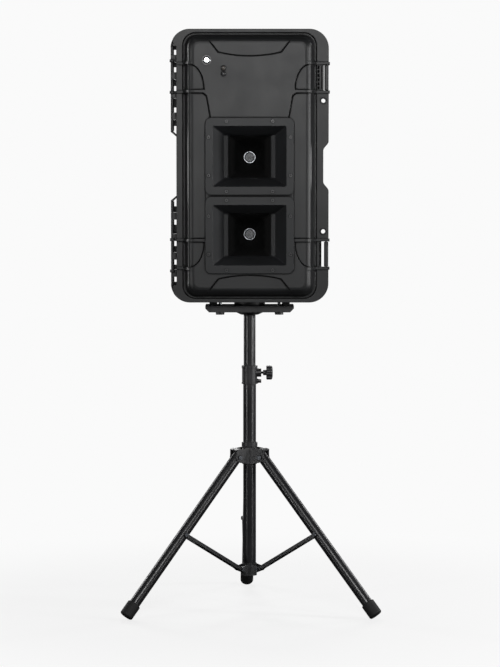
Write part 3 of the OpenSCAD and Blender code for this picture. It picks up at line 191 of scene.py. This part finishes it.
def finish_surface(
    tree,
    shader,
    base,
    deep,
    worn,
    grain_mm,
    grain_depth_mm,
    rough,
    mottle_mm,
    edge_mm,
    edge_amount,
    # how far the painted shade of a crevice reaches, in mm
    shade_reach_mm=9,
):
    """Mottled colour, rubbed edges, crevices dulled and darkened with painted shade, and
    a fine grain.
    """
    place = add_node(tree, "ShaderNodeTexCoord").outputs["Object"]
    mottle = add_node(
        tree,
        "ShaderNodeTexNoise",
        {"Vector": place, "Scale": per_metre(mottle_mm), "Detail": 5, "Roughness": 0.6},
    ).outputs["Fac"]
    ramp = add_node(tree, "ShaderNodeValToRGB", {"Fac": mottle})
    stops = ramp.color_ramp.elements
    stops[0].position, stops[0].color = MOTTLE_DEEP, hex_colour(deep)
    stops[1].position, stops[1].color = MOTTLE_BASE, hex_colour(base)

    round_normal, edge = worn_edge(tree, edge_mm)
    rub = add_node(
        tree,
        "ShaderNodeTexNoise",
        {"Vector": place, "Scale": per_metre(RUB_MM), "Detail": 3},
    ).outputs["Fac"]
    rubbed = add_node(
        tree, "ShaderNodeMath", {0: edge, 1: rub}, operation="MULTIPLY"
    ).outputs["Value"]
    # The noise averages one half, so the amount is doubled to make up for it
    rubbed = add_node(
        tree,
        "ShaderNodeMath",
        {0: rubbed, 1: edge_amount * 2},
        operation="MULTIPLY",
        use_clamp=True,
    ).outputs["Value"]
    tint = add_node(
        tree,
        "ShaderNodeMix",
        {MIX_FACTOR: rubbed, MIX_A: ramp.outputs["Color"], MIX_B: hex_colour(worn)},
        data_type="RGBA",
    ).outputs[MIX_RESULT]
    # Painted shade: the colour darkens in grooves and tight corners, by ambient occlusion
    painted_shade_factor = painted_crevice_shade(tree, shade_reach_mm)
    shaded = add_node(
        tree, "ShaderNodeVectorMath", {0: tint, "Scale": painted_shade_factor}, operation="SCALE"
    ).outputs["Vector"]
    tree.links.new(shaded, shader.inputs["Base Color"])

    gloss = add_node(
        tree,
        "ShaderNodeMapRange",
        {
            "Value": mottle,
            "From Min": GLOSS_LOW,
            "From Max": GLOSS_HIGH,
            "To Min": rough - SMOOTHER,
            "To Max": rough + ROUGHER,
        },
    ).outputs["Result"]
    dull = add_node(
        tree,
        "ShaderNodeMapRange",
        {"Value": painted_shade_factor, "From Min": 0, "From Max": 1, "To Min": 1.0, "To Max": gloss},
    ).outputs["Result"]
    tree.links.new(dull, shader.inputs["Roughness"])

    grain = add_node(
        tree,
        "ShaderNodeTexNoise",
        {"Vector": place, "Scale": per_metre(grain_mm), "Detail": 2},
    ).outputs["Fac"]
    bump = add_node(
        tree,
        "ShaderNodeBump",
        {
            "Height": grain,
            "Normal": round_normal,
            "Strength": 1.0,
            "Distance": grain_depth_mm * MM,
        },
    )
    tree.links.new(bump.outputs["Normal"], shader.inputs["Normal"])


# ------------------------------------------------------------------ finishes

# The flare of a horn ends, and the painted shade inside it is full, this far behind its
# face, in metres
DEEP_SHADE_STARTS = 0.052
DEEP_SHADE_FULL = 0.064
DEEP_SHADE_COLOUR = "#020202"
DEEP_ROUGHER = 0.35


def moulded_case_polymer():
    # Polypropylene copolymer from a spark-eroded mould: a dull black with a pebbled skin
    # that scatters the light into a soft sheen. The 0.6 mm pebble is drawn at 2 mm.
    material, tree, shader = new_material(
        "moulded_polypropylene", IOR=1.49, Specular_IOR_Level=0.5
    )
    finish_surface(
        tree, shader, base="#17181a", deep="#121314", worn="#333436",
        grain_mm=2.0, grain_depth_mm=0.07, rough=0.44,
        mottle_mm=70, edge_mm=2.2, edge_amount=0.45,
    )
    return material


def moulded_horn_abs():
    # ABS from a finely etched mould: black, smoother than the case, with a satin gloss.
    # Its faint 0.5 mm grain is drawn at 1.6 mm. Behind the outer flare it is rougher, and
    # its colour turns to a near-black painted shade.
    material, tree, shader = new_material(
        "moulded_abs", IOR=1.53, Specular_IOR_Level=0.3
    )
    finish_surface(
        tree, shader, base="#252628", deep="#1f2021", worn="#3e3f42",
        grain_mm=1.6, grain_depth_mm=0.02, rough=0.42,
        mottle_mm=90, edge_mm=1.6, edge_amount=0.4,
    )
    skin_colour = shader.inputs["Base Color"].links[0].from_socket
    skin_gloss = shader.inputs["Roughness"].links[0].from_socket
    place = add_node(tree, "ShaderNodeTexCoord").outputs["Object"]
    depth = add_node(tree, "ShaderNodeSeparateXYZ", {"Vector": place}).outputs["Y"]
    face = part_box("horn_upper")[0].y
    # Painted shade: behind the flare the colour fades to near black, and the roughness
    # rises
    painted_deep_shade = add_node(
        tree,
        "ShaderNodeMapRange",
        {
            "Value": depth,
            "From Min": face + DEEP_SHADE_STARTS,
            "From Max": face + DEEP_SHADE_FULL,
            "To Min": 0,
            "To Max": 1,
        },
    ).outputs["Result"]
    dark = add_node(
        tree,
        "ShaderNodeMix",
        {MIX_FACTOR: painted_deep_shade, MIX_A: skin_colour, MIX_B: hex_colour(DEEP_SHADE_COLOUR)},
        data_type="RGBA",
    )
    tree.links.new(dark.outputs[MIX_RESULT], shader.inputs["Base Color"])
    dull = add_node(
        tree,
        "ShaderNodeMath",
        {0: painted_deep_shade, 1: DEEP_ROUGHER, 2: skin_gloss},
        operation="MULTIPLY_ADD",
        use_clamp=True,
    ).outputs["Value"]
    tree.links.new(dull, shader.inputs["Roughness"])
    return material


def moulded_nylon():
    # Glass-filled nylon: black with a slight swirl in its gloss. The 0.4 mm mould grain
    # is drawn at 1.4 mm.
    material, tree, shader = new_material(
        "glass_filled_nylon", IOR=1.53, Specular_IOR_Level=0.5
    )
    finish_surface(
        tree, shader, base="#29292b", deep="#202022", worn="#48494b",
        grain_mm=1.4, grain_depth_mm=0.06, rough=0.42,
        mottle_mm=24, edge_mm=1.0, edge_amount=0.5,
    )
    return material


def powder_coat():
    # Polyester powder baked on steel tube: satin black with a shallow orange peel, which
    # softens the long highlights down each tube. The 1.5 mm peel is drawn at 2.5 mm.
    material, tree, shader = new_material(
        "powder_coated_steel", IOR=1.55, Specular_IOR_Level=0.6
    )
    finish_surface(
        tree, shader, base="#17171a", deep="#121214", worn="#343538",
        grain_mm=2.5, grain_depth_mm=0.0006, rough=0.3,
        mottle_mm=45, edge_mm=0.8, edge_amount=0.6,
    )
    return material


def moulded_rubber():
    # Natural rubber: deep black, almost no gloss, with a dusty bloom on the edges. The
    # 0.5 mm skin of the mould is drawn at 1.2 mm.
    material, tree, shader = new_material(
        "moulded_rubber", IOR=1.52, Specular_IOR_Level=0.35
    )
    finish_surface(
        tree, shader, base="#19191a", deep="#121213", worn="#37373a",
        grain_mm=1.2, grain_depth_mm=0.12, rough=0.68,
        mottle_mm=14, edge_mm=1.2, edge_amount=0.6,
    )
    return material


# The grain of the metals, the paints and the lenses below is too fine to show, and is
# drawn at 0.7 to 1.5 mm


def zinc_plate():
    # Bright zinc on mild steel: grey metal with a cloudy, faintly uneven plating
    material, tree, shader = new_material("zinc_plated_steel", Metallic=1.0)
    finish_surface(
        tree, shader, base="#b9bcc0", deep="#9da1a6", worn="#d4d6d9",
        grain_mm=0.8, grain_depth_mm=0.02, rough=0.28,
        mottle_mm=5, edge_mm=0.4, edge_amount=0.7,
    )
    return material


def polished_stainless():
    # Polished stainless steel: a near mirror, very slightly uneven from the wheel
    material, tree, shader = new_material("polished_stainless", Metallic=1.0)
    finish_surface(
        tree, shader, base="#d6d7d9", deep="#c4c6c9", worn="#e8e9ea",
        grain_mm=0.7, grain_depth_mm=0.006, rough=0.14,
        mottle_mm=6, edge_mm=0.4, edge_amount=0.6,
    )
    return material


def blackened_steel():
    # Oiled black oxide on the joint bolts: dark grey metal, worn paler round the rims
    material, tree, shader = new_material("black_oxide_steel", Metallic=1.0)
    finish_surface(
        tree, shader, base="#5b5d61", deep="#45474a", worn="#96989c",
        grain_mm=0.8, grain_depth_mm=0.004, rough=0.36,
        mottle_mm=5, edge_mm=0.5, edge_amount=0.7, shade_reach_mm=4,
    )
    return material


def grey_screen_paint():
    # Grey enamel on the sheet steel of the throat screens: satin, a little uneven
    material, tree, shader = new_material(
        "grey_enamel", IOR=1.5, Specular_IOR_Level=0.5
    )
    finish_surface(
        tree, shader, base="#a2a4a7", deep="#8b8e91", worn="#c6c8ca",
        grain_mm=0.8, grain_depth_mm=0.03, rough=0.4,
        mottle_mm=6, edge_mm=0.3, edge_amount=0.5,
    )
    return material


def cast_black_paint():
    # Black lacquer over a sand-cast motor shell, with the casting's grit under it
    material, tree, shader = new_material(
        "lacquered_casting", IOR=1.5, Specular_IOR_Level=0.5
    )
    finish_surface(
        tree, shader, base="#26272a", deep="#1d1e20", worn="#55585c",
        grain_mm=1.4, grain_depth_mm=0.14, rough=0.5,
        mottle_mm=20, edge_mm=1.2, edge_amount=0.6,
    )
    return material


def anodised_sheet():
    # Clear anodised aluminium sheet: pale satin metal with soft clouds in its gloss
    material, tree, shader = new_material("anodised_aluminium", Metallic=1.0)
    finish_surface(
        tree, shader, base="#8f9296", deep="#7d8085", worn="#b9bbbe",
        grain_mm=1.0, grain_depth_mm=0.02, rough=0.42,
        mottle_mm=18, edge_mm=0.5, edge_amount=0.5,
    )
    return material


def tinted_lens(name, base, deep, worn):
    # Cast acrylic over a lamp: tinted, glassy, with a faint haze under the gloss
    material, tree, shader = new_material(
        name, IOR=1.49, Specular_IOR_Level=0.5, Coat_Weight=0.6, Coat_Roughness=0.05
    )
    finish_surface(
        tree, shader, base=base, deep=deep, worn=worn,
        grain_mm=1.5, grain_depth_mm=0.004, rough=0.16,
        mottle_mm=4, edge_mm=0.3, edge_amount=0.3, shade_reach_mm=2,
    )
    return material


FINISH = {
    "case_plastic": moulded_case_polymer(),
    "horn_plastic": moulded_horn_abs(),
    "plastic_black": moulded_nylon(),
    "steel_black": powder_coat(),
    "steel_bright": zinc_plate(),
    "steel_polished": polished_stainless(),
    "rubber_black": moulded_rubber(),
    "screen_grey": grey_screen_paint(),
    "driver_metal": cast_black_paint(),
    "alloy_grey": anodised_sheet(),
}

DARK_FIXINGS = (
    "hub_bolts",
    "collar_bolts",
    "brace_rivets_left",
    "brace_rivets_right",
    "brace_rivets_rear",
)


def dress_solids():
    """Each solid gets its slot's finish, and the stand's joint bolts a darker one."""
    for part in frame["record"]["subparts"]:
        solid = NODES[part["node"]]
        solid.data.materials.clear()
        solid.data.materials.append(FINISH[part["material_slot"]])
    dark_fixing = blackened_steel()
    for node in DARK_FIXINGS:
        NODES[node].data.materials[0] = dark_fixing


dress_solids()

# ------------------------------------------------------------------ studio

PAPER_WHITE = "#fafafa"
PAPER_LIT = "#787878"  # the part that the lamps light, which a shadow takes away
PAPER_UNSEEN = "#484848"
PAPER_GLOW = 0.80
SHADOWS_FADE = 0.6  # metres from the stand
SHADOWS_END = 1.5
FLOOR_SIZE = 60
FLOOR_DROP = 0.0002

AMBIENT_COLOUR = "#f6f7f8"
AMBIENT_STRENGTH = 0.02
BACKDROP_IN_GLOSS = 0.035

# name, place, what it faces, width, height, power in watts
LAMPS = (
    ("front_box", (0.1, -5.2, 2.35), (0, 0, 1.3), 1.5, 0.9, 84),
    ("left_strip", (-3.1, -2.45, 1.1), (0, 0, 0.9), 0.3, 2.6, 34),
    ("right_strip", (3.1, -2.45, 1.1), (0, 0, 0.9), 0.3, 2.6, 34),
    ("horn_strip", (3.0, -0.8, 1.35), (0, -0.2, 1.35), 0.4, 1.0, 45),
    ("top_box", (-1.2, -1.7, 4.2), (0, 0, 0.9), 0.9, 0.9, 5),
    ("back_box", (-0.5, 4.6, 3.6), (0, 0, 1.3), 1.8, 1.0, 120),
    ("back_left_strip", (-3.2, 2.3, 1.9), (0, 0, 1.2), 0.5, 2.4, 45),
    ("back_right_strip", (3.2, 2.3, 1.9), (0, 0, 1.2), 0.5, 2.4, 45),
)


def floor_paper():
    # Seamless white paper: near the stand it keeps the soft shadows, and further out it
    # shows the same white as the backdrop, so that no horizon is seen. Other rays meet a
    # dark sheet, which keeps the light under the object low.
    material, tree, shader = new_material("studio_paper")
    tree.nodes.remove(shader)
    place = add_node(tree, "ShaderNodeTexCoord").outputs["Object"]
    reach = add_node(
        tree, "ShaderNodeVectorMath", {0: place}, operation="LENGTH"
    ).outputs["Value"]
    far = add_node(
        tree,
        "ShaderNodeMapRange",
        {
            "Value": reach,
            "From Min": SHADOWS_FADE,
            "From Max": SHADOWS_END,
            "To Min": 0,
            "To Max": 1,
        },
        interpolation_type="SMOOTHSTEP",
    ).outputs["Result"]
    white = hex_colour(PAPER_WHITE)
    lit = add_node(tree, "ShaderNodeBsdfDiffuse", {"Color": hex_colour(PAPER_LIT)})
    glow = add_node(
        tree, "ShaderNodeEmission", {"Color": white, "Strength": PAPER_GLOW}
    )
    near = add_node(
        tree, "ShaderNodeAddShader", {0: lit.outputs["BSDF"], 1: glow.outputs["Emission"]}
    )
    plain = add_node(tree, "ShaderNodeEmission", {"Color": white, "Strength": 1.0})
    seen = add_node(
        tree,
        "ShaderNodeMixShader",
        {0: far, 1: near.outputs["Shader"], 2: plain.outputs["Emission"]},
    )
    unseen = add_node(
        tree, "ShaderNodeBsdfDiffuse", {"Color": hex_colour(PAPER_UNSEEN)}
    )
    path = add_node(tree, "ShaderNodeLightPath").outputs["Is Camera Ray"]
    both = add_node(
        tree,
        "ShaderNodeMixShader",
        {0: path, 1: unseen.outputs["BSDF"], 2: seen.outputs["Shader"]},
    )
    output = tree.nodes["Material Output"]
    tree.links.new(both.outputs["Shader"], output.inputs["Surface"])
    return material


def studio_world():
    """The backdrop that the camera sees, and the little light that it gives."""
    world = bpy.data.worlds.new("studio_light")
    bpy.context.scene.world = world
    world.use_nodes = True
    tree = world.node_tree
    tree.nodes.clear()
    path = add_node(tree, "ShaderNodeLightPath")
    seen = add_node(
        tree,
        "ShaderNodeMath",
        {0: path.outputs["Is Camera Ray"], 1: path.outputs["Is Transmission Ray"]},
        operation="MAXIMUM",
    ).outputs["Value"]
    # Gloss shows the backdrop dimly, as from a small sheet of paper in a dark room, so
    # that black walls seen at a slant stay black
    seen = add_node(
        tree,
        "ShaderNodeMath",
        {0: path.outputs["Is Glossy Ray"], 1: BACKDROP_IN_GLOSS, 2: seen},
        operation="MULTIPLY_ADD",
        use_clamp=True,
    ).outputs["Value"]
    backdrop = add_node(
        tree,
        "ShaderNodeBackground",
        {"Color": hex_colour(PAPER_WHITE), "Strength": 1.0},
    )
    ambient = add_node(
        tree,
        "ShaderNodeBackground",
        {"Color": hex_colour(AMBIENT_COLOUR), "Strength": AMBIENT_STRENGTH},
    )
    mix = add_node(
        tree,
        "ShaderNodeMixShader",
        {0: seen, 1: ambient.outputs[0], 2: backdrop.outputs[0]},
    )
    add_node(tree, "ShaderNodeOutputWorld", {"Surface": mix.outputs[0]})


def build_studio():
    """The floor, the backdrop and the lamps."""
    bpy.ops.object.select_all(action="DESELECT")
    bpy.ops.mesh.primitive_plane_add(size=FLOOR_SIZE, location=(0, 0, -FLOOR_DROP))
    floor = bpy.context.object
    floor.name = "studio_floor"
    floor.data.materials.append(floor_paper())

    studio_world()

    for name, place, target, width, height, power in LAMPS:
        bpy.ops.object.light_add(type="AREA", location=place)
        lamp = bpy.context.object
        lamp.name = name
        lamp.data.shape = "RECTANGLE"
        lamp.data.size = width
        lamp.data.size_y = height
        lamp.data.energy = power
        aim = Vector(target) - Vector(place)
        lamp.rotation_euler = aim.to_track_quat("-Z", "Y").to_euler()


# ------------------------------------------------------------------ fine detail

SMOOTH_BELOW = math.radians(35)
WELD = 0.02 * MM
RING_SIDES = 64
LAMP_SIDES = 32

# Loops of a turned piece: how far in from the screen's rim, and how far in front of its
# face, in mm
THROAT_RING = (
    (0.2, -0.5),
    (0.2, 1.6),
    (0.9, 2.4),
    (3.0, 2.4),
    (3.8, 1.6),
    (3.8, -0.5),
    (0.2, -0.5),
)
THROAT_GASKET = (
    (3.9, -0.5),
    (3.9, 0.9),
    (4.5, 1.3),
    (5.5, 0.9),
    (5.8, -0.5),
    (3.9, -0.5),
)

# Loops of a lens: share of the lamp's radius, and how far in front of its face, in mm
LENS_DOME = (
    (0.86, -0.4),
    (0.86, 0.8),
    (0.74, 1.8),
    (0.50, 2.6),
    (0.24, 3.0),
)
LENS_CROWN = (0.01 * MM, 3.1 * MM)  # the last loop, so small that the weld closes it

# Base, deep and worn colour of each lens
LENS_TONES = {
    "upper": ("#5f5a55", "#4b4743", "#85817c"),
    "lower": ("#434345", "#353536", "#6a6a6c"),
}

RIB_COUNT = 5
RIB_FIRST = 0.18  # share of the flap's height below the first rib
RIB_PITCH = 0.15  # share of the flap's height from rib to rib
RIB_SIDE = 0.2  # share of the flap's width beside each rib
RIB_PROUD = 1.1 * MM
RIB_SUNK = 0.8 * MM
RIB_TALL = 2.6 * MM
RIB_ROUND = 0.5 * MM


def finish_piece(piece, material, body):
    """Smooth shading, a finish, and a place on a body for the piece just made."""
    bpy.ops.object.shade_smooth_by_angle(angle=SMOOTH_BELOW)
    bpy.ops.object.select_all(action="DESELECT")
    piece.data.materials.append(material)
    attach(piece, body)


def turned_piece(name, centre_at, loops, sides, material, body):
    """A piece of revolution about the Y axis: a loop of edges is drawn out and widened
    step by step. loops lists each loop's radius and its place in front of centre_at."""
    bpy.ops.object.select_all(action="DESELECT")
    radius, front = loops[0]
    bpy.ops.mesh.primitive_circle_add(
        vertices=sides,
        radius=radius,
        fill_type="NOTHING",
        location=(centre_at.x, centre_at.y - front, centre_at.z),
        rotation=(math.pi / 2, 0, 0),
    )
    piece = bpy.context.object
    piece.name = name
    bpy.ops.object.transform_apply(location=True, rotation=True, scale=True)
    bpy.ops.object.mode_set(mode="EDIT")
    bpy.ops.mesh.select_mode(type="EDGE")
    bpy.ops.mesh.select_all(action="SELECT")
    for next_radius, next_front in loops[1:]:
        bpy.ops.mesh.extrude_edges_move(
            TRANSFORM_OT_translate={"value": (0, front - next_front, 0)}
        )
        ratio = next_radius / radius
        bpy.ops.transform.resize(
            value=(ratio, 1, ratio),
            center_override=(centre_at.x, centre_at.y - next_front, centre_at.z),
        )
        radius, front = next_radius, next_front
    bpy.ops.mesh.select_all(action="SELECT")
    bpy.ops.mesh.remove_doubles(threshold=WELD)
    bpy.ops.mesh.normals_make_consistent(inside=False)
    bpy.ops.object.mode_set(mode="OBJECT")
    finish_piece(piece, material, body)


def raised_bar(name, low, high, material, body):
    """A short moulded bar with rounded edges."""
    bpy.ops.object.select_all(action="DESELECT")
    middle = (Vector(low) + Vector(high)) / 2
    bpy.ops.mesh.primitive_cube_add(size=1, location=middle)
    bar = bpy.context.object
    bar.name = name
    bar.scale = Vector(high) - Vector(low)
    bpy.ops.object.transform_apply(location=True, rotation=True, scale=True)
    bpy.ops.object.mode_set(mode="EDIT")
    bpy.ops.mesh.select_all(action="SELECT")
    bpy.ops.mesh.bevel(offset=RIB_ROUND, segments=3, affect="EDGES")
    bpy.ops.object.mode_set(mode="OBJECT")
    finish_piece(bar, material, body)


def throat_trim(level):
    # The driver's flange shows round the screen as a bright ring with a dark gasket
    low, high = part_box("throat_screen_" + level)
    face = Vector(((low.x + high.x) / 2, low.y, (low.z + high.z) / 2))
    full = (high.x - low.x) / 2
    ring = [(full - inset * MM, front * MM) for inset, front in THROAT_RING]
    turned_piece(
        "throat_ring_" + level, face, ring, RING_SIDES,
        FINISH["steel_bright"], "lid",
    )
    gasket = [(full - inset * MM, front * MM) for inset, front in THROAT_GASKET]
    turned_piece(
        "throat_gasket_" + level, face, gasket, RING_SIDES,
        FINISH["rubber_black"], "lid",
    )


def status_lamps():
    # Each status light gets a domed lens in a soft rubber rim
    low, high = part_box("status_lights")
    radius = (high.x - low.x) / 2
    middle = (low.x + high.x) / 2
    heights = {"upper": high.z - radius, "lower": low.z + radius}
    dome = [(radius * share, front * MM) for share, front in LENS_DOME] + [LENS_CROWN]
    outer, inner = radius + 0.6 * MM, radius * 0.88
    rim = [
        (outer, -0.2 * MM),
        (outer, 0.5 * MM),
        (radius + 0.2 * MM, 1.0 * MM),
        (radius * 0.95, 1.0 * MM),
        (inner, 0.5 * MM),
        (inner, -0.4 * MM),
        (outer, -0.2 * MM),
    ]
    for level, tones in LENS_TONES.items():
        face = Vector((middle, low.y, heights[level]))
        turned_piece(
            "status_lens_" + level, face, dome, LAMP_SIDES,
            tinted_lens("acrylic_lens_" + level, *tones), "lid",
        )
        turned_piece(
            "status_rim_" + level, face, rim, LAMP_SIDES,
            FINISH["rubber_black"], "lid",
        )


def latch_ribs(level):
    # Moulded grips across each sprung finger flap
    flap = "trigger_" + level
    low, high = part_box(flap)
    wide = high.x - low.x
    tall = high.z - low.z
    for step in range(RIB_COUNT):
        foot = low.z + tall * (RIB_FIRST + RIB_PITCH * step)
        raised_bar(
            "latch_rib_%s_%d" % (level, step + 1),
            (low.x + wide * RIB_SIDE, low.y - RIB_PROUD, foot),
            (high.x - wide * RIB_SIDE, low.y + RIB_SUNK, foot + RIB_TALL),
            FINISH["plastic_black"],
            flap,
        )


for level in ("upper", "lower"):
    throat_trim(level)
    latch_ribs(level)
status_lamps()

build_studio()
bpy.context.scene.view_settings.view_transform = "Standard"
